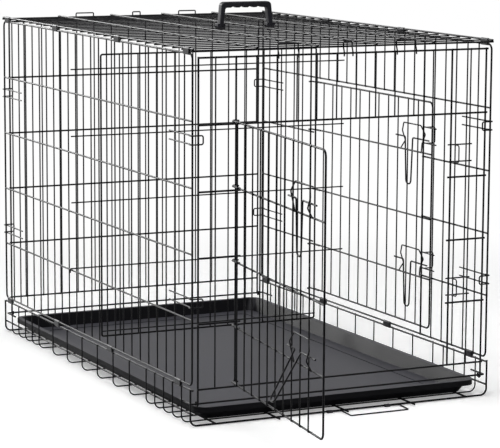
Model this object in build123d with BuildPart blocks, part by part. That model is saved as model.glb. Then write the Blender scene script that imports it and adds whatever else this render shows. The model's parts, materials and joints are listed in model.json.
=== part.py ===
from build123d import *
import os
from math import cos, radians, sin

# Wire dog crate, fold-down type, millimetres. +X is the front end, +Z is up.
# The origin is on the floor under the middle of the cabin.

# Wire grid
pitch = 50.8  # spacing of the bars
long_spaces = 24  # bar spaces along the crate
cross_spaces = 15  # bar spaces across the crate
level_count = 6  # level wires on a side, top and bottom rail included
level_pitch = 150.0  # spacing of the level wires
rail_d = 4.6  # frames, rails and posts
level_d = 4.2  # level wires between the rails of a frame
bar_d = 3.4  # infill bars
weld = 0.5  # depth that crossing wires sink into each other
corner_bend = 14.0  # bend of a frame's corners
small_bend = 5.0  # bend of hooks and catches
hook_bend = 4.5  # bend of a hook round a wire
hook_d = 4.0  # hooks that a door hangs on
run_gap = 0.4  # clearance between wires that turn or slide on each other
seat_gap = 0.05  # clearance between pieces that rest on each other
wire_end = 4.0  # length that a wire stands past its last weld

# Heights
hinge_height = 96.0  # lower rail of the side panels
clip_span = 10.4  # spacing of the two rails in one hinge clip
front_drop = 9.0  # the front end's levels lie this far under the sides' levels
rear_drop = 2.0  # the rear end's levels lie this far under the sides' levels
axle_height = 52.5  # wire that the end panels swing on
mid_rim_height = 30.0  # second wire of the bottom panel's upstand
end_wire_height = 3.4  # cross wire at each end of the floor

# Bottom panel
floor_bend = 16.0  # bend from the floor up into the upstand
close_spaces = 5  # spaces at each end where every floor bar is present
axle_leg = 60.0  # length that the axle wire runs along the upstand
runner_indexes = (1, 4, 7.5, 11, 14)  # floor runners, in bar spaces from the left
long_runners = (4, 7.5, 11)  # runners that stand out past the front wire
runner_tip = 26.0  # how far they stand out

# End panels
side_gap = 0.3  # clearance of the side bars from the nominal width
post_inset = 8.8  # corner posts from the nominal width
front_jambs = (2, 13)  # front doorway, in bar spaces from the left
side_jambs = (6, 18)  # side doorway, in bar spaces from the rear
jamb_stub = 10.0  # level wires stand this far into a doorway

# Doors
door_overlap = 26.0  # a door's free edge reaches this far past its jamb
door_gap = 1.3  # clearance of a shut door from the level wires behind it
front_open = 96.6  # angle at which the front door stands open
front_door_rails = (98.0, 229.0, 378.0, 547.0, 694.0)
side_door_rails = (114.0, 238.0, 390.0, 553.0, 683.0)
latch_rails = (1, 3)  # rails that carry a latch, counted from the bottom
door_start = 8.0  # a door's rails begin this far from its hinge
hook_length = 46.0  # a hook lies along its rail up to this distance

# Latches
bolt_d = 4.0
bolt_rise = 31.0  # bolt above the rail that carries its guide
bolt_back = 168.8  # bolt's rear end, from the jamb
bolt_tip = 2.8  # bolt's tip when drawn back, from the jamb
handle_near = 84.0  # legs of the bolt's handle, from the jamb
handle_far = 122.0
handle_drop = 119.0  # length of the handle
handle_taper = 7.0  # each leg leans in this much to the end
handle_bend = 11.0  # round end of the handle
lower_lift = 29.0  # the front door's lower handle stands out at this angle
guide_foot_near = 34.0  # feet of the guide, from the jamb
guide_foot_far = 138.0
guide_rises = (20.0, 44.0, 66.0)  # waist, shoulder and top of the guide above its rail
guide_steps = (10.0, -6.0, 9.0)  # how far each of them lies inside the feet
strike_rise = 47.0  # middle of the staple above the guide's rail
staple_offset = 4.6  # staple from the jamb
staple_d = 3.0
staple_height = 40.0
staple_reach = 26.0  # staple stands out from its cross wires

# Corner catches
catch_heights = (285.0, 654.0)
catch_width = 20.0
catch_leg_spaces = 2.5  # length of the legs, in bar spaces
catch_reach = 28.5  # the loop goes this far round the corner
catch_gap = 0.7

# Hinge clips
clip_length = 30.0
clip_wall = 0.9
clip_gap = 0.25
top_clip_spaces = (0.6, 7.5, 15.5, 23.4)  # in bar spaces from the rear
bottom_clip_spaces = (0.6, 7.5, 14.5, 22.5)

# Top panel and its keepers
top_long_indexes = (3, 6, 9, 12)  # inner long wires, in bar spaces from the left
keeper_pairs = ((4, 5), (7.28, 7.72), (10, 11))  # in bar spaces from the left
keeper_top = 10.6  # above the end wire
keeper_hang = 7.0  # under the end panel's top rail
keeper_rise = 2.5  # the leg steps in at this height over that rail
keeper_land = 1.3  # and lies on the end wire from this depth under its middle
keeper_gap = 0.5

# Tray
tray_length = 1190.0
tray_width = 716.0
tray_height = 34.0
tray_wall = 2.4
tray_draft = 18.0  # the walls lean in this much from the lip to the floor
tray_lip = 10.0
tray_lip_thick = 3.0
tray_skirt = 13.0  # height of the lip's turned-down edge
tray_corner = 22.0
tray_floor_bend = 8.0
tray_gap = 0.2
tray_groove = 1.2  # depth of the shallow panel in the floor
tray_border = 60.0  # flat border round that panel

# Carry handle
handle_wire = 10  # cross wire of the top panel that it turns on, from the rear
handle_centre = 9.17  # middle of the grip, in bar spaces from the left
handle_span = 141.0  # between the middles of the feet
handle_height = 63.0
handle_depth = 20.0
grip_thick = 15.0
leg_thick = 11.0
leg_lean = 6.0
foot_width = 22.0
foot_depth = 16.0
foot_below = 6.0
foot_above = 8.0
foot_gap = 0.3
finger_count = 4
finger_radius = 13.0
finger_depth = 2.6
grip_round = 3.0

# Pan stop
stop_wire_d = 3.4
stop_left = -6.0  # arms of the bail
stop_right = 147.0
stop_arm = 48.0
stop_end = 38.0  # length that turns in each clip
stop_clip_offset = 30.0  # clip from its arm
stop_clip_length = 12.0
stop_clip_wall = 0.8

# Divider
divider_spaces = 9.5  # in bar spaces from the rear
divider_half = 6  # bar spaces from its middle to its side
divider_bottom = 69.0
divider_top = 789.0
divider_arm_drop = 34.8  # highest arm under the divider's top
divider_arm_count = 5
divider_hook_level = 1  # side level that its hook hangs on
divider_hook_drop = 10.0
divider_poke = 6.0  # arms reach this far past the nominal width

# Derived places
rail_r = rail_d / 2
bar_r = bar_d / 2
layer = rail_r + bar_r - weld
rail_layer = rail_d - weld
hook_offset = rail_d + run_gap
half_length = pitch * long_spaces / 2
half_width = pitch * cross_spaces / 2
levels = [hinge_height + level_pitch * k for k in range(level_count)]
front_levels = [z - front_drop for z in levels]
rear_levels = [z - rear_drop for z in levels]
side_bar_y = half_width + side_gap + bar_r
side_rail_y = side_bar_y + layer
side_jamb_y = side_rail_y - rail_layer
end_rail_x = half_length + rail_layer
end_bar_x = end_rail_x - layer
post_y = half_width - post_inset
axle_x = half_length - hook_offset
rim_z = hinge_height - clip_span
rim_bar_y = side_rail_y + layer
runner_z = bar_d + rail_r - weld
top_rail_z = levels[-1] + clip_span
top_bar_z = top_rail_z - layer
top_end_z = top_rail_z - rail_layer


def bar_x(index):
    """Place of a bar along the crate, counted from the rear."""
    return -half_length + pitch * index


def bar_y(index):
    """Place of a bar across the crate, counted from the left."""
    return -half_width + pitch * index


def rods(direction, spots, length, diameter):
    """Straight wires of one length, one centred on each spot."""
    turn = {"x": (0, 90, 0), "y": (90, 0, 0), "z": (0, 0, 0)}[direction]
    with Locations(*spots):
        Cylinder(diameter / 2, length, rotation=turn)


def bent_wire(points, diameter, bends):
    """Round wire through the points, with its corners bent to the given radii."""
    with BuildPart() as wire:
        with BuildLine() as run:
            FilletPolyline(*points, radius=bends)
        with BuildSketch(Plane(run.line @ 0, z_dir=run.line % 0)):
            Circle(diameter / 2)
        sweep()
    return wire.part


def frame_halves(plane, low, high, bend):
    """Wire frame with rounded corners, as two bent halves that meet in the middle."""
    middle = mid(low[0], high[0])
    halves = []
    for edge in (low[0], high[0]):
        corners = [(middle, low[1]), (edge, low[1]), (edge, high[1]), (middle, high[1])]
        points = [plane.from_local_coords((u, v, 0)) for u, v in corners]
        halves.append(bent_wire(points, rail_d, bend))
    return halves


def mid(low, high):
    return (low + high) / 2


# Bottom panel: floor bars bent up at both sides, with rims, runners and axles
with BuildPart() as floor_bar:
    add(
        bent_wire(
            [
                (0, -rim_bar_y, rim_z + bar_r),
                (0, -rim_bar_y, bar_r),
                (0, rim_bar_y, bar_r),
                (0, rim_bar_y, rim_z + bar_r),
            ],
            bar_d,
            floor_bend,
        )
    )

end_bar_y = side_rail_y + rail_layer
with BuildPart() as floor_end:
    add(
        bent_wire(
            [
                (0, -end_bar_y, rim_z + rail_r),
                (0, -end_bar_y, end_wire_height),
                (0, end_bar_y, end_wire_height),
                (0, end_bar_y, rim_z + rail_r),
            ],
            rail_d,
            floor_bend,
        )
    )

close_front = long_spaces - close_spaces
floor_indexes = list(range(1, close_spaces))
floor_indexes += list(range(close_spaces, close_front + 1, 2))
floor_indexes += list(range(close_front + 1, long_spaces))
rim_length = 2 * (half_length + wire_end)
axles = [
    bent_wire(
        [
            (end * (axle_x - axle_leg), -side_rail_y, axle_height),
            (end * axle_x, -side_rail_y, axle_height),
            (end * axle_x, side_rail_y, axle_height),
            (end * (axle_x - axle_leg), side_rail_y, axle_height),
        ],
        rail_d,
        small_bend,
    )
    for end in (-1, 1)
]

with BuildPart() as bottom_panel:
    with Locations(*[(bar_x(i), 0, 0) for i in floor_indexes]):
        add(floor_bar.part)
    with Locations((-half_length, 0, 0), (half_length, 0, 0)):
        add(floor_end.part)
    rims = [(0, s * side_rail_y, z) for s in (-1, 1) for z in (rim_z, mid_rim_height)]
    rods("x", rims, rim_length, rail_d)
    short = [i for i in runner_indexes if i not in long_runners]
    rods("x", [(0, bar_y(i), runner_z) for i in short], rim_length, rail_d)
    long_spots = [((runner_tip - wire_end) / 2, bar_y(i), runner_z) for i in long_runners]
    rods("x", long_spots, rim_length + runner_tip - wire_end, rail_d)
    add(axles)
bottom_panel.part.label = "bottom_panel"


# Side panels: a bent frame, level wires outside and bars inside
def side_frame(side):
    plane = Plane((0, side * side_rail_y, 0), x_dir=(1, 0, 0), z_dir=(0, -1, 0))
    return frame_halves(plane, (-half_length, levels[0]), (half_length, levels[-1]), corner_bend)


side_mid = mid(levels[0], levels[-1])
side_bar_length = levels[-1] - levels[0] + bar_r
with BuildPart() as left_side_panel:
    add(side_frame(-1))
    rods("x", [(0, -side_rail_y, z) for z in levels[1:-1]], 2 * half_length, level_d)
    left_bars = [(bar_x(i), -side_bar_y, side_mid) for i in range(1, long_spaces)]
    rods("z", left_bars, side_bar_length, bar_d)
left_side_panel.part.label = "left_side_panel"

rear_jamb, front_jamb = side_jambs
lintel = levels[-2]
with BuildPart() as right_side_panel:
    add(side_frame(1))
    rods("x", [(0, side_rail_y, lintel)], 2 * half_length, level_d)
    rear_stub = bar_x(rear_jamb) + jamb_stub + half_length
    front_stub = half_length - bar_x(front_jamb) + jamb_stub
    rear_spots = [(-half_length + rear_stub / 2, side_rail_y, z) for z in levels[1:-2]]
    front_spots = [(half_length - front_stub / 2, side_rail_y, z) for z in levels[1:-2]]
    rods("x", rear_spots, rear_stub, level_d)
    rods("x", front_spots, front_stub, level_d)
    full = list(range(1, rear_jamb)) + list(range(front_jamb + 1, long_spaces))
    rods("z", [(bar_x(i), side_bar_y, side_mid) for i in full], side_bar_length, bar_d)
    rods("z", [(bar_x(i), side_jamb_y, side_mid) for i in side_jambs], side_bar_length, rail_d)
    above = [
        (bar_x(i), side_bar_y, mid(lintel, levels[-1])) for i in range(rear_jamb + 1, front_jamb)
    ]
    rods("z", above, levels[-1] - lintel + bar_r, bar_d)
right_side_panel.part.label = "right_side_panel"


# End panels: posts hooked on the axle, level wires outside, bars inside
def end_post(end, side, top_z):
    """Corner post up to its top rail, with a hook round the axle at its foot."""
    post_x = end * half_length
    inner_x = end * (axle_x - hook_offset)
    low = axle_height - hook_offset
    return bent_wire(
        [
            (post_x, side * post_y, top_z + rail_r),
            (post_x, side * post_y, low),
            (inner_x, side * post_y, low),
            (inner_x, side * post_y, axle_height + hook_offset),
        ],
        rail_d,
        hook_bend,
    )


end_bar_length = levels[-1] - levels[0] + bar_r
end_rail_length = 2 * (post_y + rail_r)
rear_mid = mid(rear_levels[0], rear_levels[-1])
rear_posts = [end_post(-1, s, rear_levels[-1]) for s in (-1, 1)]
with BuildPart() as rear_end_panel:
    add(rear_posts)
    rods("y", [(-end_rail_x, 0, z) for z in rear_levels], end_rail_length, rail_d)
    rear_bars = [(-end_bar_x, bar_y(i), rear_mid) for i in range(1, cross_spaces)]
    rods("z", rear_bars, end_bar_length, bar_d)
rear_end_panel.part.label = "rear_end_panel"

left_jamb, right_jamb = front_jambs
front_lintel = front_levels[-2]
front_mid = mid(front_levels[0], front_levels[-1])
front_posts = [end_post(1, s, front_levels[-1]) for s in (-1, 1)]
with BuildPart() as front_end_panel:
    add(front_posts)
    across = [(end_rail_x, 0, z) for z in (front_levels[0], front_lintel, front_levels[-1])]
    rods("y", across, end_rail_length, rail_d)
    left_stub = bar_y(left_jamb) + jamb_stub + end_rail_length / 2
    right_stub = end_rail_length / 2 - bar_y(right_jamb) + jamb_stub
    left_y = (left_stub - end_rail_length) / 2
    right_y = (end_rail_length - right_stub) / 2
    rods("y", [(end_rail_x, left_y, z) for z in front_levels[1:-2]], left_stub, rail_d)
    rods("y", [(end_rail_x, right_y, z) for z in front_levels[1:-2]], right_stub, rail_d)
    full = list(range(1, left_jamb)) + list(range(right_jamb + 1, cross_spaces))
    rods("z", [(end_bar_x, bar_y(i), front_mid) for i in full], end_bar_length, bar_d)
    rods("z", [(half_length, bar_y(i), front_mid) for i in front_jambs], end_bar_length, rail_d)
    above = [
        (end_bar_x, bar_y(i), mid(front_lintel, front_levels[-1]))
        for i in range(left_jamb + 1, right_jamb)
    ]
    rods("z", above, front_levels[-1] - front_lintel + bar_r, bar_d)
front_end_panel.part.label = "front_end_panel"

# Top panel: long wires over cross wires
with BuildPart() as top_panel:
    edges = [(0, s * side_rail_y, top_rail_z) for s in (-1, 1)]
    inner = [(0, bar_y(i), top_rail_z) for i in top_long_indexes]
    rods("x", edges + inner, rim_length, rail_d)
    cross_length = 2 * (side_rail_y + wire_end)
    rods("y", [(bar_x(i), 0, top_bar_z) for i in range(1, long_spaces)], cross_length, bar_d)
    rods("y", [(s * half_length, 0, top_end_z) for s in (-1, 1)], cross_length, rail_d)
top_panel.part.label = "top_panel"


# Keepers: loops on the top panel's end wires, outside the end panels' top rail
def keeper(end, pair, rail_z):
    near_x = end * (half_length + rail_r + seat_gap + bar_r)
    far_x = end * (end_rail_x + rail_r + keeper_gap + bar_r)
    left, right = bar_y(pair[0]), bar_y(pair[1])
    leg = [(far_x, rail_z - keeper_hang), (far_x, rail_z + keeper_rise)]
    leg += [(near_x, top_end_z - keeper_land), (near_x, top_end_z + keeper_top)]
    up = [(x, left, z) for x, z in leg]
    down = [(x, right, z) for x, z in reversed(leg)]
    return bent_wire(up + down, bar_d, small_bend / 2)


front_loops = [keeper(1, pair, front_levels[-1]) for pair in keeper_pairs]
rear_loops = [keeper(-1, pair, rear_levels[-1]) for pair in keeper_pairs]
with BuildPart() as front_keepers:
    add(front_loops)
front_keepers.part.label = "front_keepers"
with BuildPart() as rear_keepers:
    add(rear_loops)
rear_keepers.part.label = "rear_keepers"


# Hinge clips: folded sheet round two rails that lie one above the other
def clip_ring(plane, span, hole_r, wall, length):
    with BuildPart() as ring:
        with BuildSketch(plane):
            SlotCenterToCenter(span, 2 * (hole_r + wall))
            SlotCenterToCenter(span, 2 * hole_r, mode=Mode.SUBTRACT)
        extrude(amount=length / 2, both=True)
    return ring.part


upright = Plane((0, 0, 0), x_dir=(0, 0, 1), z_dir=(1, 0, 0))
hinge_clip = clip_ring(upright, clip_span, rail_r + clip_gap, clip_wall, clip_length)
top_clip_z = mid(levels[-1], top_rail_z)
bottom_clip_z = mid(rim_z, hinge_height)

with BuildPart() as top_left_hinge_clips:
    with Locations(*[(bar_x(i), -side_rail_y, top_clip_z) for i in top_clip_spaces]):
        add(hinge_clip)
top_left_hinge_clips.part.label = "top_left_hinge_clips"
with BuildPart() as top_right_hinge_clips:
    with Locations(*[(bar_x(i), side_rail_y, top_clip_z) for i in top_clip_spaces]):
        add(hinge_clip)
top_right_hinge_clips.part.label = "top_right_hinge_clips"
with BuildPart() as bottom_left_hinge_clips:
    with Locations(*[(bar_x(i), -side_rail_y, bottom_clip_z) for i in bottom_clip_spaces]):
        add(hinge_clip)
bottom_left_hinge_clips.part.label = "bottom_left_hinge_clips"
with BuildPart() as bottom_right_hinge_clips:
    with Locations(*[(bar_x(i), side_rail_y, bottom_clip_z) for i in bottom_clip_spaces]):
        add(hinge_clip)
bottom_right_hinge_clips.part.label = "bottom_right_hinge_clips"


# Corner catches: loops on the side panels that reach round in front of the posts
def corner_catch(end, side, height):
    low = height - catch_width / 2
    high = height + catch_width / 2
    bar_side = side_bar_y + bar_r + seat_gap + bar_r
    frame_side = side_rail_y + rail_r + side_gap + bar_r
    tail_x = half_length - catch_leg_spaces * pitch
    step_x = half_length - rail_d - 3 * bar_d
    face_x = half_length + rail_r + catch_gap + bar_r
    leg = [(tail_x, bar_side), (step_x, bar_side), (step_x + 2 * bar_d, frame_side)]
    leg += [(face_x, frame_side), (face_x, frame_side - catch_reach)]
    out = [(end * x, side * y, low) for x, y in leg]
    back = [(end * x, side * y, high) for x, y in reversed(leg)]
    return bent_wire(out + back, bar_d, hook_bend)


left_catches = [corner_catch(end, -1, z) for end in (-1, 1) for z in catch_heights]
right_catches = [corner_catch(end, 1, z) for end in (-1, 1) for z in catch_heights]
with BuildPart() as left_corner_catches:
    add(left_catches)
left_corner_catches.part.label = "left_corner_catches"
with BuildPart() as right_corner_catches:
    add(right_catches)
right_corner_catches.part.label = "right_corner_catches"


# Doors: places on a door are a distance along it, a distance out of it and a height
def door_spot(hinge, along, out):
    """Function that turns a place on a door into a point of the crate."""

    def spot(s, n, z):
        return hinge + along * s + out * n + Vector(0, 0, z)

    return spot


front_hinge = Vector(half_length, bar_y(left_jamb), 0)
swing = radians(front_open)
front_spot = door_spot(
    front_hinge, Vector(sin(swing), cos(swing), 0), Vector(cos(swing), -sin(swing), 0)
)
side_hinge = Vector(bar_x(rear_jamb), side_jamb_y, 0)
side_spot = door_spot(side_hinge, Vector(1, 0, 0), Vector(0, 1, 0))

front_door_spaces = right_jamb - left_jamb
side_door_spaces = front_jamb - rear_jamb
rail_out = rail_layer + rail_r + door_gap + rail_r
bar_out = rail_out + layer
bolt_out = bar_out + bar_r + run_gap + bolt_d / 2


def straight_wire(start, finish, diameter):
    with BuildPart() as wire:
        with BuildLine() as run:
            Line(start, finish)
        with BuildSketch(Plane(run.line @ 0, z_dir=run.line % 0)):
            Circle(diameter / 2)
        sweep()
    return wire.part


def door_wires(spot, spaces, rails):
    """Bent frame and rails of one door."""
    edge = spaces * pitch + door_overlap
    frame = [spot(s, rail_out, rails[0]) for s in (door_start, edge)]
    frame += [spot(s, rail_out, rails[-1]) for s in (edge, door_start)]
    wires = [bent_wire(frame, rail_d, corner_bend)]
    for z in rails[1:-1]:
        ends = [spot(s, rail_out, z) for s in (door_start, edge)]
        wires.append(straight_wire(*ends, level_d))
    return wires


def door_hooks(spot, rails):
    """Bent wires against the inside of a door's rails, each hooked round the jamb."""
    turn = mid(rail_d, hook_d) + run_gap
    hooks = []
    for z in rails:
        rail_size = rail_d if z in (rails[0], rails[-1]) else level_d
        leg = rail_out - mid(rail_size, hook_d) - seat_gap
        line = [(hook_length, leg), (-turn, leg), (-turn, -turn), (turn, -turn)]
        hooks.append(bent_wire([spot(s, n, z) for s, n in line], hook_d, hook_bend))
    return hooks


def door_bars(spot, spaces, rails):
    """Middles of the bars of one door."""
    return [spot(pitch * k, bar_out, mid(rails[0], rails[-1])) for k in range(1, spaces)]


front_wires = door_wires(front_spot, front_door_spaces, front_door_rails)
front_bars = door_bars(front_spot, front_door_spaces, front_door_rails)
with BuildPart() as front_door:
    add(front_wires)
    rods("z", front_bars, front_door_rails[-1] - front_door_rails[0] + bar_r, bar_d)
front_door.part.label = "front_door"
front_hooks = door_hooks(front_spot, front_door_rails)
with BuildPart() as front_door_hooks:
    add(front_hooks)
front_door_hooks.part.label = "front_door_hooks"

side_wires = door_wires(side_spot, side_door_spaces, side_door_rails)
side_bars = door_bars(side_spot, side_door_spaces, side_door_rails)
with BuildPart() as side_door:
    add(side_wires)
    rods("z", side_bars, side_door_rails[-1] - side_door_rails[0] + bar_r, bar_d)
side_door.part.label = "side_door"
side_hooks = door_hooks(side_spot, side_door_rails)
with BuildPart() as side_door_hooks:
    add(side_hooks)
side_door_hooks.part.label = "side_door_hooks"


# Latches: a bent bolt with a long handle, a guide on the door and a staple on the jamb
def latch_bolt(spot, spaces, rail_z, lift=0.0):
    """Bolt whose handle stands out from the door by the given angle."""
    jamb = spaces * pitch
    line = [(bolt_back, 0), (handle_far, 0), (handle_far - handle_taper, handle_drop)]
    line += [(handle_near + handle_taper, handle_drop), (handle_near, 0), (bolt_tip, 0)]
    reach, fall = sin(radians(lift)), cos(radians(lift))
    points = [
        spot(jamb - back, bolt_out + drop * reach, rail_z + bolt_rise - drop * fall)
        for back, drop in line
    ]
    return bent_wire(points, bolt_d, [small_bend, handle_bend, handle_bend, small_bend])


def latch_guide(spot, spaces, rail_z):
    jamb = spaces * pitch
    foot_out = rail_out + rail_r + seat_gap + bar_r
    top_out = bar_out + bar_r + seat_gap + bar_r
    waist_out = bolt_out + bolt_d / 2 + run_gap + bar_r
    outs = (waist_out, waist_out, top_out)
    side_line = [(0, foot_out, 0), *zip(guide_steps, outs, guide_rises)]
    far = [spot(jamb - guide_foot_far + w, n, rail_z + z) for w, n, z in side_line]
    near = [spot(jamb - guide_foot_near - w, n, rail_z + z) for w, n, z in reversed(side_line)]
    return bent_wire(far + near, bar_d, small_bend)


def strike(origin, along, out, jamb, height):
    """Two short cross wires on the jamb with a staple standing out between them."""
    seat = rail_r + seat_gap + bar_r
    low = height - staple_height / 2
    high = height + staple_height / 2
    begin = jamb - jamb_stub
    finish = jamb + pitch + wire_end
    staple = jamb + staple_offset

    def at(s, n, z):
        return origin + along * s + out * n + Vector(0, 0, z)

    with BuildPart() as piece:
        for z in (low, high):
            add(straight_wire(at(begin, seat, z), at(finish, seat, z), bar_d))
        loop = [at(staple, seat, low), at(staple, seat + staple_reach, low)]
        loop += [at(staple, seat + staple_reach, high), at(staple, seat, high)]
        add(bent_wire(loop, staple_d, small_bend))
    return piece.part


front_latch_z = [front_door_rails[k] for k in latch_rails]
side_latch_z = [side_door_rails[k] for k in latch_rails]

with BuildPart() as front_lower_latch:
    add(latch_bolt(front_spot, front_door_spaces, front_latch_z[0], lower_lift))
front_lower_latch.part.label = "front_lower_latch"
with BuildPart() as front_upper_latch:
    add(latch_bolt(front_spot, front_door_spaces, front_latch_z[1]))
front_upper_latch.part.label = "front_upper_latch"
with BuildPart() as side_lower_latch:
    add(latch_bolt(side_spot, side_door_spaces, side_latch_z[0]))
side_lower_latch.part.label = "side_lower_latch"
with BuildPart() as side_upper_latch:
    add(latch_bolt(side_spot, side_door_spaces, side_latch_z[1]))
side_upper_latch.part.label = "side_upper_latch"

front_guides = [latch_guide(front_spot, front_door_spaces, z) for z in front_latch_z]
side_guides = [latch_guide(side_spot, side_door_spaces, z) for z in side_latch_z]
with BuildPart() as front_latch_guides:
    add(front_guides)
front_latch_guides.part.label = "front_latch_guides"
with BuildPart() as side_latch_guides:
    add(side_guides)
side_latch_guides.part.label = "side_latch_guides"

front_jamb_line = (front_hinge, Vector(0, 1, 0), Vector(1, 0, 0), front_door_spaces * pitch)
side_jamb_line = (side_hinge, Vector(1, 0, 0), Vector(0, 1, 0), side_door_spaces * pitch)
front_staples = [strike(*front_jamb_line, z + strike_rise) for z in front_latch_z]
side_staples = [strike(*side_jamb_line, z + strike_rise) for z in side_latch_z]
with BuildPart() as front_strikes:
    add(front_staples)
front_strikes.part.label = "front_strikes"
with BuildPart() as side_strikes:
    add(side_staples)
side_strikes.part.label = "side_strikes"

# Tray: moulded pan with leaning walls and a turned-down lip, lying on the floor runners
tray_bottom = runner_z + rail_r + tray_gap
tray_top = tray_bottom + tray_height
skirt_low = tray_top - tray_skirt


def tray_outline(height, inset):
    """Rounded outline of the tray at a height, inset from the top of its walls."""
    with BuildSketch(Plane.XY.offset(height)) as outline:
        RectangleRounded(
            tray_length - 2 * inset, tray_width - 2 * inset, tray_corner - min(inset, tray_wall)
        )
    return outline.sketch


with BuildPart() as tray:
    add(tray_outline(tray_bottom, tray_draft))
    add(tray_outline(tray_top, 0))
    loft(ruled=True)
    outer_floor = tray.edges().filter_by(Plane.XY).group_by(Axis.Z)[0]
    fillet(outer_floor, tray_floor_bend)
    with BuildSketch(Plane.XY.offset(skirt_low)):
        RectangleRounded(
            tray_length + 2 * tray_lip, tray_width + 2 * tray_lip, tray_corner + tray_lip
        )
        RectangleRounded(
            tray_length + 2 * (tray_lip - tray_wall),
            tray_width + 2 * (tray_lip - tray_wall),
            tray_corner + tray_lip - tray_wall,
            mode=Mode.SUBTRACT,
        )
    extrude(amount=tray_skirt)
    with BuildSketch(Plane.XY.offset(tray_top - tray_lip_thick)):
        RectangleRounded(
            tray_length + 2 * tray_lip, tray_width + 2 * tray_lip, tray_corner + tray_lip
        )
    extrude(amount=tray_lip_thick)
    add(tray_outline(tray_bottom + tray_wall, tray_draft + tray_wall))
    add(tray_outline(tray_top, tray_wall))
    loft(ruled=True, mode=Mode.SUBTRACT)
    with BuildSketch(Plane.XY.offset(tray_bottom + tray_wall - tray_groove)):
        RectangleRounded(
            tray_length - 2 * tray_border, tray_width - 2 * tray_border, tray_corner
        )
    extrude(amount=tray_wall, mode=Mode.SUBTRACT)
    rim_edges = tray.edges().filter_by(Plane.XY).group_by(Axis.Z)[-1]
    fillet(rim_edges, tray_lip_thick / 3)
tray.part.label = "tray"

# Carry handle: moulded arch whose feet turn on one cross wire of the top panel
handle_place = Plane(
    (bar_x(handle_wire), bar_y(handle_centre), top_bar_z), x_dir=(0, 1, 0), z_dir=(1, 0, 0)
)
half_span = handle_span / 2
grip_low = handle_height - grip_thick
with BuildPart() as carry_handle:
    with BuildSketch(handle_place):
        with BuildLine():
            FilletPolyline(
                (-half_span - leg_thick / 2, 0),
                (-half_span - leg_thick / 2 + leg_lean, handle_height),
                (half_span + leg_thick / 2 - leg_lean, handle_height),
                (half_span + leg_thick / 2, 0),
                radius=leg_thick,
            )
            Line((half_span + leg_thick / 2, 0), (-half_span - leg_thick / 2, 0))
        make_face()
        with BuildLine():
            FilletPolyline(
                (-half_span + leg_thick / 2, 0),
                (-half_span + leg_thick / 2 + leg_lean, grip_low),
                (half_span - leg_thick / 2 - leg_lean, grip_low),
                (half_span - leg_thick / 2, 0),
                radius=leg_thick / 2,
            )
            Line((half_span - leg_thick / 2, 0), (-half_span + leg_thick / 2, 0))
        make_face(mode=Mode.SUBTRACT)
        finger_pitch = (handle_span - leg_thick - 2 * leg_lean - 2 * leg_thick) / finger_count
        with Locations((0, grip_low - finger_radius + finger_depth)):
            with GridLocations(finger_pitch, 0, finger_count, 1):
                Circle(finger_radius, mode=Mode.SUBTRACT)
    extrude(amount=handle_depth / 2, both=True)
    fillet(carry_handle.edges().filter_by(Axis.X, reverse=True), grip_round)
    with BuildSketch(handle_place):
        foot_mid = mid(-foot_below, foot_above)
        with Locations((-half_span, foot_mid), (half_span, foot_mid)):
            RectangleRounded(foot_width, foot_below + foot_above, 2 * weld)
    extrude(amount=foot_depth / 2, both=True)
    with Locations((bar_x(handle_wire), bar_y(handle_centre), top_bar_z)):
        Cylinder(bar_r + foot_gap, 2 * handle_span, rotation=(90, 0, 0), mode=Mode.SUBTRACT)
carry_handle.part.label = "carry_handle"

# Pan stop: a wire bail that turns in two clips on the front floor wire
stop_r = stop_wire_d / 2
stop_x = half_length + rail_r + 2 * clip_gap + stop_r
stop_far = stop_x + stop_arm
stop_low = stop_r + tray_gap
with BuildPart() as pan_stop:
    add(
        bent_wire(
            [
                (stop_x, stop_left - stop_end, end_wire_height),
                (stop_x, stop_left, end_wire_height),
                (stop_far, stop_left, stop_low),
                (stop_far, stop_right, stop_low),
                (stop_x, stop_right, end_wire_height),
                (stop_x, stop_right - stop_end, end_wire_height),
            ],
            stop_wire_d,
            small_bend,
        )
    )
pan_stop.part.label = "pan_stop"

flat = Plane((0, 0, 0), x_dir=(1, 0, 0), z_dir=(0, 1, 0))
stop_clip = clip_ring(flat, stop_x - half_length, rail_r + clip_gap, stop_clip_wall, stop_clip_length)
stop_clip_x = mid(half_length, stop_x)
stop_clip_spots = [
    (stop_clip_x, arm - stop_clip_offset, end_wire_height) for arm in (stop_left, stop_right)
]
with BuildPart() as pan_stop_clips:
    with Locations(*stop_clip_spots):
        add(stop_clip)
pan_stop_clips.part.label = "pan_stop_clips"

# Divider: a wire panel that hangs across the cabin on the side wires
divider_x = bar_x(divider_spaces)
divider_y = divider_half * pitch
divider_plane = Plane((divider_x, 0, 0), x_dir=(0, 1, 0), z_dir=(1, 0, 0))
arm_x = divider_x + bar_d - weld
hook_z = levels[divider_hook_level] + rail_r + tray_gap + bar_r
hook_y = side_rail_y + rail_r + catch_gap + bar_r
arm_pitch = (divider_top - divider_arm_drop - hook_z) / (divider_arm_count - 2)
arm_heights = [hook_z + arm_pitch * (k - 1) for k in range(divider_arm_count)]
poke_y = half_width + divider_poke
hook_arm = bent_wire(
    [
        (arm_x, poke_y, hook_z),
        (arm_x, -hook_y, hook_z),
        (arm_x, -hook_y, hook_z - divider_hook_drop),
    ],
    bar_d,
    small_bend / 2,
)
with BuildPart() as divider_panel:
    divider_low, divider_high = (-divider_y, divider_bottom), (divider_y, divider_top)
    add(frame_halves(divider_plane, divider_low, divider_high, small_bend))
    divider_bars = [
        (divider_x, pitch * k, mid(divider_bottom, divider_top))
        for k in range(1 - divider_half, divider_half)
    ]
    rods("z", divider_bars, divider_top - divider_bottom, bar_d)
    rods("y", [(arm_x, 0, arm_heights[0])], 2 * divider_y, bar_d)
    rods("y", [(arm_x, 0, z) for z in arm_heights[2:]], 2 * poke_y, bar_d)
    add(hook_arm)
divider_panel.part.label = "divider_panel"

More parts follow.
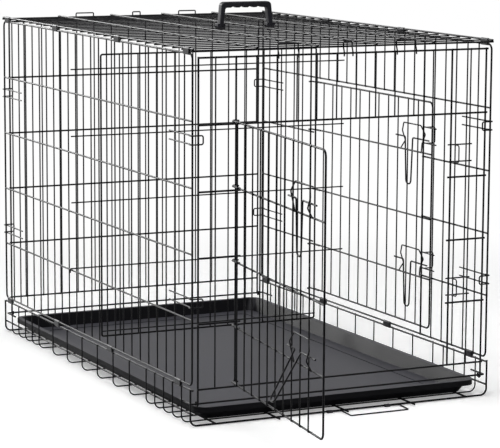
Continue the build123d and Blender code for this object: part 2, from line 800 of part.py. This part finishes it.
os.makedirs("parts", exist_ok=True)
for piece in (
    bottom_panel,
    left_side_panel,
    right_side_panel,
    rear_end_panel,
    front_end_panel,
    top_panel,
    front_keepers,
    rear_keepers,
    top_left_hinge_clips,
    top_right_hinge_clips,
    bottom_left_hinge_clips,
    bottom_right_hinge_clips,
    left_corner_catches,
    right_corner_catches,
    front_door,
    front_door_hooks,
    side_door,
    side_door_hooks,
    front_lower_latch,
    front_upper_latch,
    side_lower_latch,
    side_upper_latch,
    front_latch_guides,
    side_latch_guides,
    front_strikes,
    side_strikes,
    tray,
    carry_handle,
    pan_stop,
    pan_stop_clips,
    divider_panel,
):
    export_step(piece.part, f"parts/{piece.part.label}.step")
    print(piece.part.label, len(piece.part.solids()), round(piece.part.volume))
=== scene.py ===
# %% [markdown]
# # A folding wire dog crate
# The crate is a cage of coated steel wire: six grids, a divider, two doors and bolts bent from wire, with a
# plastic pan and a plastic handle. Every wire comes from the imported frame, already in its true place, so
# this lesson is about what makes wire look like wire: smooth round sections, a weld at every crossing, a
# satin coating and light that runs along it.

# %% Load the frame
import json
import math

import bpy
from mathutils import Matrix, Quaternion, Vector


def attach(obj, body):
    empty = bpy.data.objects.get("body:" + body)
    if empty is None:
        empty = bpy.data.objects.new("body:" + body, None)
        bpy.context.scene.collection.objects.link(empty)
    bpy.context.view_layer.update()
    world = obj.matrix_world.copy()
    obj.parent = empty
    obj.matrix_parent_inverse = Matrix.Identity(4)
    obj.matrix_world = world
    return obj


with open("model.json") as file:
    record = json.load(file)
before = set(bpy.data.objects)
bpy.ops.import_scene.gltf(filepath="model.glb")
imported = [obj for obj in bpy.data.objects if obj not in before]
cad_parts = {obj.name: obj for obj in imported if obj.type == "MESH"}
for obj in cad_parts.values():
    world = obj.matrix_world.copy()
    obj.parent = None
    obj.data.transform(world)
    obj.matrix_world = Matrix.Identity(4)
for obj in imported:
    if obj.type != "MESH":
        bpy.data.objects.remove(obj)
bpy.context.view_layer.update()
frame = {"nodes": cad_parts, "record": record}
nodes = frame["nodes"]

# %% [markdown]
# ## Helpers
# Colours are written as they would be picked on a screen and turned to linear light once. One function
# adds a node to any tree, with its settings and its links, so that each material below reads as a list of
# what it is made of. The mix node numbers its colour sockets, so their numbers get names here.

# %% Colour and node helpers
MM = 0.001
MIX_SHARE, MIX_FROM, MIX_TO, MIX_RESULT = 0, 6, 7, 2


def srgb(code, alpha=1.0):
    """A hex colour as linear light."""
    levels = [int(code[i : i + 2], 16) / 255 for i in (1, 3, 5)]
    linear = [v / 12.92 if v <= 0.04045 else ((v + 0.055) / 1.055) ** 2.4 for v in levels]
    return (*linear, alpha)


def add_node(tree, kind, inputs=None, **settings):
    """A node with its settings, whose inputs are values or other nodes' outputs."""
    node = tree.nodes.new(kind)
    for name, value in settings.items():
        setattr(node, name, value)
    for key, value in (inputs or {}).items():
        if isinstance(value, bpy.types.NodeSocket):
            tree.links.new(value, node.inputs[key])
        else:
            node.inputs[key].default_value = value
    return node


def per_metre(size_mm):
    """Texture scale at which one cell of a pattern measures the given millimetres."""
    return 1 / (size_mm * MM)


def set_ramp(ramp, *stops):
    """The two ends of a colour ramp, each a position and a hex colour."""
    for element, (position, code) in zip(ramp.color_ramp.elements, stops):
        element.position = position
        element.color = srgb(code)


def start_material(name):
    """A fresh material with its tree, its surface shader and object coordinates."""
    material = bpy.data.materials.new(name)
    material.use_nodes = True
    tree = material.node_tree
    surface = tree.nodes["Principled BSDF"]
    place = add_node(tree, "ShaderNodeTexCoord").outputs["Object"]
    return material, tree, surface, place


def upward_share(tree):
    """How far the surface faces up: the upright part of its normal."""
    normal = add_node(tree, "ShaderNodeNewGeometry").outputs["Normal"]
    return add_node(tree, "ShaderNodeSeparateXYZ", {"Vector": normal}).outputs["Z"]


print("one millimetre is", MM, "in the scene")

# %% [markdown]
# ## Powder coating on steel wire
# The wire is sprayed with black powder and baked. The skin is a satin film, a little uneven like orange
# peel, and so dark that a wire against the light is a black line. Whatever faces up is painted paler in
# patches: partly a trace of dust, partly a painted highlight for the light from above. It is laid on by
# the direction of the surface, so no wire has to be painted by hand. Besides that painted highlight, the
# pale line along the level wires is a lamp mirrored in the film, set further down with the other lamps.

# %% Black powder coating
wire_coat, tree, surface, place = start_material("black_powder_coat_on_steel_wire")
peel = add_node(
    tree, "ShaderNodeTexNoise", {"Vector": place, "Scale": per_metre(2.2), "Detail": 2.0}
)
patches = add_node(
    tree, "ShaderNodeTexNoise", {"Vector": place, "Scale": per_metre(60), "Detail": 3.0}
)
shade = add_node(tree, "ShaderNodeValToRGB", {"Fac": patches.outputs["Fac"]})
set_ramp(shade, (0.3, "#060608"), (0.75, "#0e0e12"))
# Painted highlight and dust: faces that point up are lightened towards pale grey in patches, for the light
# from above as well as dust.
upward = add_node(
    tree,
    "ShaderNodeMapRange",
    {"Value": upward_share(tree), "From Min": 0.3, "From Max": 0.95},
)
highlight_and_dust_patches = add_node(
    tree, "ShaderNodeMapRange", {"Value": patches.outputs["Fac"], "To Min": 0.0, "To Max": 0.08}
)
painted_highlight_and_dust = add_node(
    tree,
    "ShaderNodeMath",
    {0: upward.outputs["Result"], 1: highlight_and_dust_patches.outputs["Result"]},
    operation="MULTIPLY",
)
with_painted_highlight_and_dust = add_node(
    tree,
    "ShaderNodeMix",
    {MIX_SHARE: painted_highlight_and_dust.outputs[0], MIX_FROM: shade.outputs["Color"], MIX_TO: srgb("#8b8b92")},
    data_type="RGBA",
)
gloss = add_node(
    tree, "ShaderNodeMapRange", {"Value": patches.outputs["Fac"], "To Min": 0.3, "To Max": 0.46}
)
bump = add_node(
    tree,
    "ShaderNodeBump",
    {"Height": peel.outputs["Fac"], "Strength": 0.12, "Distance": 0.3 * MM},
)
tree.links.new(with_painted_highlight_and_dust.outputs[MIX_RESULT], surface.inputs["Base Color"])
tree.links.new(gloss.outputs["Result"], surface.inputs["Roughness"])
tree.links.new(bump.outputs["Normal"], surface.inputs["Normal"])
surface.inputs["IOR"].default_value = 1.5
surface.inputs["Specular IOR Level"].default_value = 0.14
print("made", wire_coat.name)

# %% [markdown]
# ## Pressed sheet of the clips
# The clips that join two grids are folded from thin steel and coated like the wire, but they are rubbed by
# the wires that turn in them, so the coating is greyer and broken by scuffs.

# %% Worn coated sheet
clip_coat, tree, surface, place = start_material("scuffed_coating_on_pressed_steel")
scuffs = add_node(
    tree,
    "ShaderNodeTexNoise",
    {"Vector": place, "Scale": per_metre(5), "Detail": 6.0, "Roughness": 0.65},
)
worn = add_node(tree, "ShaderNodeValToRGB", {"Fac": scuffs.outputs["Fac"]})
set_ramp(worn, (0.42, "#141416"), (0.72, "#4a4a4e"))
rub = add_node(
    tree, "ShaderNodeMapRange", {"Value": scuffs.outputs["Fac"], "To Min": 0.3, "To Max": 0.5}
)
dent = add_node(
    tree,
    "ShaderNodeBump",
    {"Height": scuffs.outputs["Fac"], "Strength": 0.15, "Distance": 0.3 * MM},
)
tree.links.new(worn.outputs["Color"], surface.inputs["Base Color"])
tree.links.new(rub.outputs["Result"], surface.inputs["Roughness"])
tree.links.new(dent.outputs["Normal"], surface.inputs["Normal"])
surface.inputs["Specular IOR Level"].default_value = 0.25
print("made", clip_coat.name)

# %% [markdown]
# ## Moulded tray
# The pan is vacuum formed from black ABS sheet. The mould gives it a fine leather grain. The floor is
# painted dark grey and the walls and the rolled edge near black, faintly blue: painted light on the floor
# and painted shade on the walls, laid on by the direction of the surface, so the grey ends in the bend
# where the floor turns up.

# %% Grained ABS
tray_abs, tree, surface, place = start_material("grained_black_abs_sheet")
grain = add_node(
    tree, "ShaderNodeTexVoronoi", {"Vector": place, "Scale": per_metre(3.0)}, feature="F1"
)
cloud = add_node(
    tree, "ShaderNodeTexNoise", {"Vector": place, "Scale": per_metre(180), "Detail": 4.0}
)
painted_lit_floor_grey = add_node(tree, "ShaderNodeValToRGB", {"Fac": cloud.outputs["Fac"]})
set_ramp(painted_lit_floor_grey, (0.3, "#3b3b40"), (0.7, "#46464c"))
# Painted light and shade: faces that point up take the lit floor grey, steeper faces the shaded near black.
painted_light_by_slope = add_node(
    tree,
    "ShaderNodeMapRange",
    {"Value": upward_share(tree), "From Min": 0.55, "From Max": 0.97},
)
tone = add_node(
    tree,
    "ShaderNodeMix",
    {
        MIX_SHARE: painted_light_by_slope.outputs["Result"],
        MIX_FROM: srgb("#09090d"),
        MIX_TO: painted_lit_floor_grey.outputs["Color"],
    },
    data_type="RGBA",
)
sheen = add_node(
    tree, "ShaderNodeMapRange", {"Value": cloud.outputs["Fac"], "To Min": 0.4, "To Max": 0.54}
)
pebble = add_node(
    tree,
    "ShaderNodeBump",
    {"Height": grain.outputs["Distance"], "Strength": 0.25, "Distance": 0.4 * MM},
)
tree.links.new(tone.outputs[MIX_RESULT], surface.inputs["Base Color"])
tree.links.new(sheen.outputs["Result"], surface.inputs["Roughness"])
tree.links.new(pebble.outputs["Normal"], surface.inputs["Normal"])
surface.inputs["IOR"].default_value = 1.54
surface.inputs["Specular IOR Level"].default_value = 0.08
print("made", tray_abs.name)

# %% [markdown]
# ## Moulded handle
# The handle is injection moulded polypropylene with a spark-eroded finish: a matt charcoal with a fine
# stipple.

# %% Stippled polypropylene
handle_pp, tree, surface, place = start_material("stippled_charcoal_polypropylene")
stipple = add_node(
    tree, "ShaderNodeTexNoise", {"Vector": place, "Scale": per_metre(0.9), "Detail": 3.0}
)
film = add_node(
    tree, "ShaderNodeTexNoise", {"Vector": place, "Scale": per_metre(25), "Detail": 3.0}
)
tint = add_node(tree, "ShaderNodeValToRGB", {"Fac": film.outputs["Fac"]})
set_ramp(tint, (0.3, "#16161c"), (0.75, "#22222b"))
pores = add_node(
    tree,
    "ShaderNodeBump",
    {"Height": stipple.outputs["Fac"], "Strength": 0.3, "Distance": 0.25 * MM},
)
tree.links.new(tint.outputs["Color"], surface.inputs["Base Color"])
tree.links.new(pores.outputs["Normal"], surface.inputs["Normal"])
surface.inputs["Roughness"].default_value = 0.52
surface.inputs["IOR"].default_value = 1.49
surface.inputs["Specular IOR Level"].default_value = 0.3
print("made", handle_pp.name)

# %% [markdown]
# ## Dress the frame's pieces
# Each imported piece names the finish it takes. The meshes arrive as loose triangles, which would show as
# flat facets on a round wire, so a small node tree merges them and shades every gentle edge smooth.

# %% Smooth shading tree
SAME_POINT = 0.002 * MM
GENTLE_EDGE = math.radians(32)
shade_tree = bpy.data.node_groups.new("round_wire_shading", "GeometryNodeTree")
shade_tree.interface.new_socket("Geometry", in_out="INPUT", socket_type="NodeSocketGeometry")
shade_tree.interface.new_socket("Geometry", in_out="OUTPUT", socket_type="NodeSocketGeometry")
entry = add_node(shade_tree, "NodeGroupInput")
merged = add_node(
    shade_tree,
    "GeometryNodeMergeByDistance",
    {"Geometry": entry.outputs["Geometry"], "Distance": SAME_POINT},
)
edge_angle = add_node(shade_tree, "GeometryNodeInputMeshEdgeAngle")
gentle = add_node(
    shade_tree,
    "FunctionNodeCompare",
    {0: edge_angle.outputs["Unsigned Angle"], 1: GENTLE_EDGE},
    operation="LESS_THAN",
)
faces_smooth = add_node(shade_tree, "GeometryNodeSetShadeSmooth", {0: merged.outputs[0]})
edges_smooth = add_node(
    shade_tree,
    "GeometryNodeSetShadeSmooth",
    {0: faces_smooth.outputs[0], "Shade Smooth": gentle.outputs[0]},
    domain="EDGE",
)
add_node(shade_tree, "NodeGroupOutput", {0: edges_smooth.outputs[0]})
print("made", shade_tree.name)

# %% Give each node its finish
finishes = {
    "coated_wire": wire_coat,
    "clip_sheet": clip_coat,
    "tray_plastic": tray_abs,
    "handle_plastic": handle_pp,
}
for row in frame["record"]["subparts"]:
    piece = nodes[row["node"]]
    for material_slot in piece.material_slots:
        material_slot.material = finishes[row["material_slot"]]
    rounding = piece.modifiers.new("round_wire_shading", "NODES")
    rounding.node_group = shade_tree

# %% [markdown]
# ## Welds
# Each grid is made by laying bars across rails and pressing a current through every crossing, which
# squeezes out a small ring of metal. There are several hundred of them and all are alike, so Geometry
# Nodes set one flattened bead on each crossing. The crossings are a cloud of points that carry the
# direction in which the wires were pressed. Their places follow from the counts and spacings of the grids,
# so they are worked out and not listed.

# %% Spacings of the grids
PITCH = 50.8 * MM
LONG_SPACES, CROSS_SPACES = 24, 15
HALF_LENGTH = LONG_SPACES / 2 * PITCH
HALF_WIDTH = CROSS_SPACES / 2 * PITCH
LEVELS = [(96.0 + 150.0 * k) * MM for k in range(6)]
FRONT_LEVELS = [z - 9.0 * MM for z in LEVELS]
REAR_LEVELS = [z - 2.0 * MM for z in LEVELS]
RIM_LEVELS = (85.6 * MM, 30.0 * MM)
FRONT_RAILS = [z * MM for z in (98, 229, 378, 547, 694)]
SIDE_RAILS = [z * MM for z in (114, 238, 390, 553, 683)]
DIVIDER_ARMS = [(82.2 + 168.0 * k) * MM for k in range(5)]
DIVIDER_HALF = 6
FRONT_JAMBS, SIDE_JAMBS = (2, 13), (6, 18)
TOP_WIRES = (3, 6, 9, 12)
RUNNERS = (1, 4, 7.5, 11, 14)
FLOOR_BARS = [*range(0, 5), *range(5, 20, 2), *range(20, 25)]
FRONT_OPEN = math.radians(96.6)
print("grid of", LONG_SPACES, "by", CROSS_SPACES, "spaces, one every", PITCH, "metres")

# %% Planes in which the wires touch
SIDE_WELD = 384.45 * MM
END_WELD = 611.65 * MM
TOP_WELD = 854.35 * MM
TOP_EDGE = 386.5 * MM
FLOOR_WELD = 3.15 * MM
RIM_WELD = 388.55 * MM
DOOR_WELD = 12.0 * MM
SIDE_HINGE = 382.4 * MM
POST_Y = 372.2 * MM
DIVIDER_WELD = -125.5 * MM
LENGTHWISE, ACROSS, UPRIGHT = (1, 0, 0), (0, 1, 0), (0, 0, 1)
print("sides touch at", SIDE_WELD, "ends at", END_WELD, "top at", TOP_WELD)

# %% Places along the grids


def bar_x(index):
    """Place of a bar along the crate, counted from the rear."""
    return -HALF_LENGTH + PITCH * index


def bar_y(index):
    """Place of a bar across the crate, counted from the left."""
    return -HALF_WIDTH + PITCH * index


def doorway_levels(index, jambs, levels):
    """Levels that a bar crosses: only the two upper ones over a doorway."""
    return levels[-2:] if jambs[0] < index < jambs[1] else levels


def door_crossings(hinge, along, out, jambs, rails):
    """Crossings of a door's bars and rails."""
    along, out = Vector(along), Vector(out)
    base = Vector((*hinge, 0)) + out * DOOR_WELD
    spots = [(k, z) for k in range(1, jambs[1] - jambs[0]) for z in rails]
    return [(base + along * PITCH * k + Vector((0, 0, z)), out) for k, z in spots]


print("bars from", bar_x(0), "to", bar_x(LONG_SPACES))

# %% Crossings of the fixed grids
side_bars = range(1, LONG_SPACES)
left_side = [((bar_x(i), -SIDE_WELD, z), ACROSS) for i in side_bars for z in LEVELS]
right_side = [
    ((bar_x(i), SIDE_WELD, z), ACROSS)
    for i in side_bars
    for z in doorway_levels(i, SIDE_JAMBS, LEVELS)
]
top = [
    ((bar_x(i), y, TOP_WELD), UPRIGHT)
    for i in range(LONG_SPACES + 1)
    for y in (-TOP_EDGE, *(bar_y(k) for k in TOP_WIRES), TOP_EDGE)
]
floor_grid = [((bar_x(i), bar_y(k), FLOOR_WELD), UPRIGHT) for i in FLOOR_BARS for k in RUNNERS]
rims = [
    ((bar_x(i), side * RIM_WELD, z), ACROSS)
    for i in FLOOR_BARS
    for side in (-1, 1)
    for z in RIM_LEVELS
]
print("fixed crossings", len(left_side + right_side + top + floor_grid + rims))

# %% Crossings of the ends, the doors and the divider
end_bars = range(1, CROSS_SPACES)
front_bars = [
    ((END_WELD, bar_y(k), z), LENGTHWISE)
    for k in end_bars
    for z in doorway_levels(k, FRONT_JAMBS, FRONT_LEVELS)
]
front_posts = [
    ((END_WELD, side * POST_Y, z), LENGTHWISE) for side in (-1, 1) for z in FRONT_LEVELS
]
rear_places = (-POST_Y, *(bar_y(k) for k in end_bars), POST_Y)
rear = [((-END_WELD, y, z), LENGTHWISE) for y in rear_places for z in REAR_LEVELS]
front_door = door_crossings(
    hinge=(HALF_LENGTH, bar_y(FRONT_JAMBS[0])),
    along=(math.sin(FRONT_OPEN), math.cos(FRONT_OPEN), 0),
    out=(math.cos(FRONT_OPEN), -math.sin(FRONT_OPEN), 0),
    jambs=FRONT_JAMBS,
    rails=FRONT_RAILS,
)
side_door = door_crossings(
    hinge=(bar_x(SIDE_JAMBS[0]), SIDE_HINGE),
    along=LENGTHWISE,
    out=ACROSS,
    jambs=SIDE_JAMBS,
    rails=SIDE_RAILS,
)
divider = [
    ((DIVIDER_WELD, PITCH * k, z), LENGTHWISE)
    for k in range(-DIVIDER_HALF, DIVIDER_HALF + 1)
    for z in DIVIDER_ARMS
]
crossings = {
    "crate": left_side + right_side + top + floor_grid + rims,
    "front_end": front_bars + front_posts,
    "rear_end": rear,
    "front_door": front_door,
    "side_door": side_door,
    "divider": divider,
}
print("crossings", {body: len(spots) for body, spots in crossings.items()})

# %% A tree that sets a bead on every crossing
weld_tree = bpy.data.node_groups.new("weld_beads", "GeometryNodeTree")
sockets = weld_tree.interface
sockets.new_socket("Geometry", in_out="OUTPUT", socket_type="NodeSocketGeometry")
sockets.new_socket("Geometry", in_out="INPUT", socket_type="NodeSocketGeometry")
radius_in = sockets.new_socket("Bead radius", in_out="INPUT", socket_type="NodeSocketFloat")
press_in = sockets.new_socket("Pressed height", in_out="INPUT", socket_type="NodeSocketFloat")
coat_in = sockets.new_socket("Finish", in_out="INPUT", socket_type="NodeSocketMaterial")
entry = add_node(weld_tree, "NodeGroupInput")
bead = add_node(
    weld_tree,
    "GeometryNodeMeshUVSphere",
    {"Segments": 10, "Rings": 6, "Radius": entry.outputs["Bead radius"]},
)
flat = add_node(
    weld_tree,
    "ShaderNodeCombineXYZ",
    {"X": 1.0, "Y": 1.0, "Z": entry.outputs["Pressed height"]},
)
pressed = add_node(
    weld_tree, "GeometryNodeTransform", {"Geometry": bead.outputs["Mesh"], "Scale": flat.outputs[0]}
)
rounded = add_node(weld_tree, "GeometryNodeSetShadeSmooth", {0: pressed.outputs["Geometry"]})
direction = add_node(
    weld_tree, "GeometryNodeInputNamedAttribute", {"Name": "pressed_along"}, data_type="FLOAT_VECTOR"
)
aimed = add_node(
    weld_tree, "FunctionNodeAlignRotationToVector", {"Vector": direction.outputs[0]}, axis="Z"
)
placed = add_node(
    weld_tree,
    "GeometryNodeInstanceOnPoints",
    {
        "Points": entry.outputs["Geometry"],
        "Instance": rounded.outputs[0],
        "Rotation": aimed.outputs["Rotation"],
    },
)
solid = add_node(weld_tree, "GeometryNodeRealizeInstances", {0: placed.outputs[0]})
coated = add_node(
    weld_tree,
    "GeometryNodeSetMaterial",
    {"Geometry": solid.outputs[0], "Material": entry.outputs["Finish"]},
)
add_node(weld_tree, "NodeGroupOutput", {0: coated.outputs[0]})
print("made", weld_tree.name)

# %% One mesh of welds for each body
BEAD_RADIUS = 2.7 * MM
BEAD_FLATNESS = 0.45


def weld_piece(body, spots):
    """The welds of one body, as a plain mesh that rides on it."""
    points = bpy.data.meshes.new(f"{body}_crossings")
    points.from_pydata([place for place, _ in spots], [], [])
    pressed_along = points.attributes.new("pressed_along", "FLOAT_VECTOR", "POINT")
    for item, (_, way) in zip(pressed_along.data, spots):
        item.vector = way
    seed = bpy.data.objects.new(f"{body}_crossings", points)
    bpy.context.collection.objects.link(seed)
    growing = seed.modifiers.new("weld_beads", "NODES")
    growing.node_group = weld_tree
    growing[radius_in.identifier] = BEAD_RADIUS
    growing[press_in.identifier] = BEAD_FLATNESS
    growing[coat_in.identifier] = wire_coat
    depsgraph = bpy.context.evaluated_depsgraph_get()
    mesh = bpy.data.meshes.new_from_object(seed.evaluated_get(depsgraph))
    bpy.data.objects.remove(seed)
    piece = bpy.data.objects.new(f"{body}_welds", mesh)
    bpy.context.collection.objects.link(piece)
    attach(piece, body)
    return piece


for body, spots in crossings.items():
    welds = weld_piece(body, spots)
    print(welds.name, len(welds.data.polygons), "faces")

# %% [markdown]
# ## Floor and backdrop
# The crate stands on a flat white floor, and the world stands in for a white backdrop. Painting that in
# light alone would need lamps so strong that the black wire turns grey. So the sweep and the world show
# plain white to the eye, while the lamps stay at a plain level. A mirrored ray sees that white where the
# backdrop stands, behind the crate, and a dim studio on the other side, which keeps the upright wires
# black. Near the crate the sweep is an ordinary matt surface that takes its shadow, and it fades into white
# further out.

# %% White sweep
BACKDROP_EDGE, STUDIO_EDGE = -0.35, 0.25
DIM_STUDIO = 0.06
NEAR_FLOOR, FAR_FLOOR = 0.9, 2.4
FLOOR_LIFT = 0.3
floor_material, tree, surface, place = start_material("matt_white_sweep")
surface.inputs["Base Color"].default_value = srgb("#f6f6f6")
surface.inputs["Roughness"].default_value = 0.9
surface.inputs["Specular IOR Level"].default_value = 0.0


def white_to_the_eye(tree, place):
    """One for a ray from the camera, less for a mirrored one towards the studio, zero for light."""
    forward = add_node(tree, "ShaderNodeSeparateXYZ", {"Vector": place})
    backdrop_share = add_node(
        tree,
        "ShaderNodeMapRange",
        {
            "Value": forward.outputs["X"],
            "From Min": BACKDROP_EDGE,
            "From Max": STUDIO_EDGE,
            "To Min": 1.0,
            "To Max": DIM_STUDIO,
        },
    )
    path = add_node(tree, "ShaderNodeLightPath")
    mirrored = add_node(
        tree,
        "ShaderNodeMath",
        {0: path.outputs["Is Glossy Ray"], 1: backdrop_share.outputs["Result"]},
        operation="MULTIPLY",
    )
    direct = add_node(
        tree,
        "ShaderNodeMath",
        {0: path.outputs["Is Camera Ray"], 1: path.outputs["Is Transmission Ray"]},
        operation="MAXIMUM",
    )
    seen = add_node(
        tree,
        "ShaderNodeMath",
        {0: direct.outputs[0], 1: mirrored.outputs[0]},
        operation="MAXIMUM",
    )
    return seen.outputs[0]


seen = white_to_the_eye(tree, place)
lift = add_node(tree, "ShaderNodeMath", {0: seen, 1: FLOOR_LIFT}, operation="MULTIPLY")
glow = add_node(tree, "ShaderNodeEmission", {"Strength": lift.outputs[0]})
near = add_node(
    tree, "ShaderNodeAddShader", {0: surface.outputs["BSDF"], 1: glow.outputs["Emission"]}
)
far = add_node(tree, "ShaderNodeEmission", {"Strength": seen})
away = add_node(tree, "ShaderNodeVectorMath", {0: place}, operation="LENGTH")
fade = add_node(
    tree,
    "ShaderNodeMapRange",
    {"Value": away.outputs["Value"], "From Min": NEAR_FLOOR, "From Max": FAR_FLOOR},
    interpolation_type="SMOOTHSTEP",
)
mixed = add_node(
    tree,
    "ShaderNodeMixShader",
    {0: fade.outputs["Result"], 1: near.outputs[0], 2: far.outputs["Emission"]},
)
tree.links.new(mixed.outputs[0], tree.nodes["Material Output"].inputs["Surface"])
print("made", floor_material.name)

# %% Floor under the crate
FLOOR_REACH = 60.0
corners = [(-1, -1), (1, -1), (1, 1), (-1, 1)]
sweep = bpy.data.meshes.new("floor")
sweep.from_pydata([(x * FLOOR_REACH, y * FLOOR_REACH, 0) for x, y in corners], [], [(0, 1, 2, 3)])
sweep.materials.append(floor_material)
floor = bpy.data.objects.new("floor", sweep)
bpy.context.collection.objects.link(floor)
print("floor", 2 * FLOOR_REACH, "metres across")

# %% [markdown]
# ## Lamps
# Three large lamps give even light from above and from both sides. A fourth stands behind the crate on its
# left. A wire that runs lengthwise mirrors it as one long pale line, while the upright and the cross
# wires, which turn their shine elsewhere, stay dark. That lamp is there for its reflection alone, so it
# gives no other light.

# %% Lamps and world
CRATE_MIDDLE = Vector((0.2, 0.0, 0.42))
WORLD_LIGHT = 0.25


def soft_lamp(name, place, size, watts):
    """A square area lamp that faces the middle of the crate."""
    light = bpy.data.lights.new(name, "AREA")
    light.size = size
    light.energy = watts
    lamp = bpy.data.objects.new(name, light)
    lamp.location = place
    lamp.rotation_euler = (CRATE_MIDDLE - Vector(place)).to_track_quat("-Z", "Y").to_euler()
    bpy.context.collection.objects.link(lamp)
    return lamp


soft_lamp("overhead_lamp", place=(0.3, -0.6, 4.0), size=1.8, watts=92)
soft_lamp("left_lamp", place=(2.4, -4.6, 2.4), size=2.4, watts=75)
soft_lamp("right_lamp", place=(5.0, 3.2, 2.4), size=2.5, watts=20)
streak_lamp = soft_lamp("streak_lamp", place=(-4.2, -1.4, 2.1), size=1.2, watts=130)
streak_lamp.visible_diffuse = False
world = bpy.data.worlds.new("studio_world")
world.use_nodes = True
bpy.context.scene.world = world
tree = world.node_tree
heading = add_node(tree, "ShaderNodeTexCoord").outputs["Generated"]
brightness = add_node(
    tree,
    "ShaderNodeMapRange",
    {"Value": white_to_the_eye(tree, heading), "To Min": WORLD_LIGHT, "To Max": 1.0},
)
backdrop = tree.nodes["Background"]
backdrop.inputs["Color"].default_value = srgb("#ffffff")
tree.links.new(brightness.outputs["Result"], backdrop.inputs["Strength"])
bpy.context.scene.view_settings.view_transform = "Standard"
print("lamps", [item.name for item in bpy.data.lights])

# %% [markdown]
# ## Camera
# The place, the direction and the lens were found by matching the counted grid to the photograph. The
# camera stands six metres off with a long lens, so the far end of the crate is only a little smaller than
# the near one.

# %% Camera at the photograph's angle
lens = bpy.data.cameras.new("photo_camera")
lens.sensor_fit = "HORIZONTAL"
lens.sensor_width = 36.0
lens.lens = 167.0
lens.clip_end = 200.0
camera = bpy.data.objects.new("photo_camera", lens)
camera.location = (5.2721, -2.5062, 1.243)
look = Vector((-0.88948, 0.4317, -0.14988))
roll = Quaternion((0, 0, 1), math.radians(0.3))
camera.rotation_euler = (look.to_track_quat("-Z", "Y") @ roll).to_euler()
bpy.context.collection.objects.link(camera)
bpy.context.scene.camera = camera
print("camera", [round(v, 3) for v in camera.location])
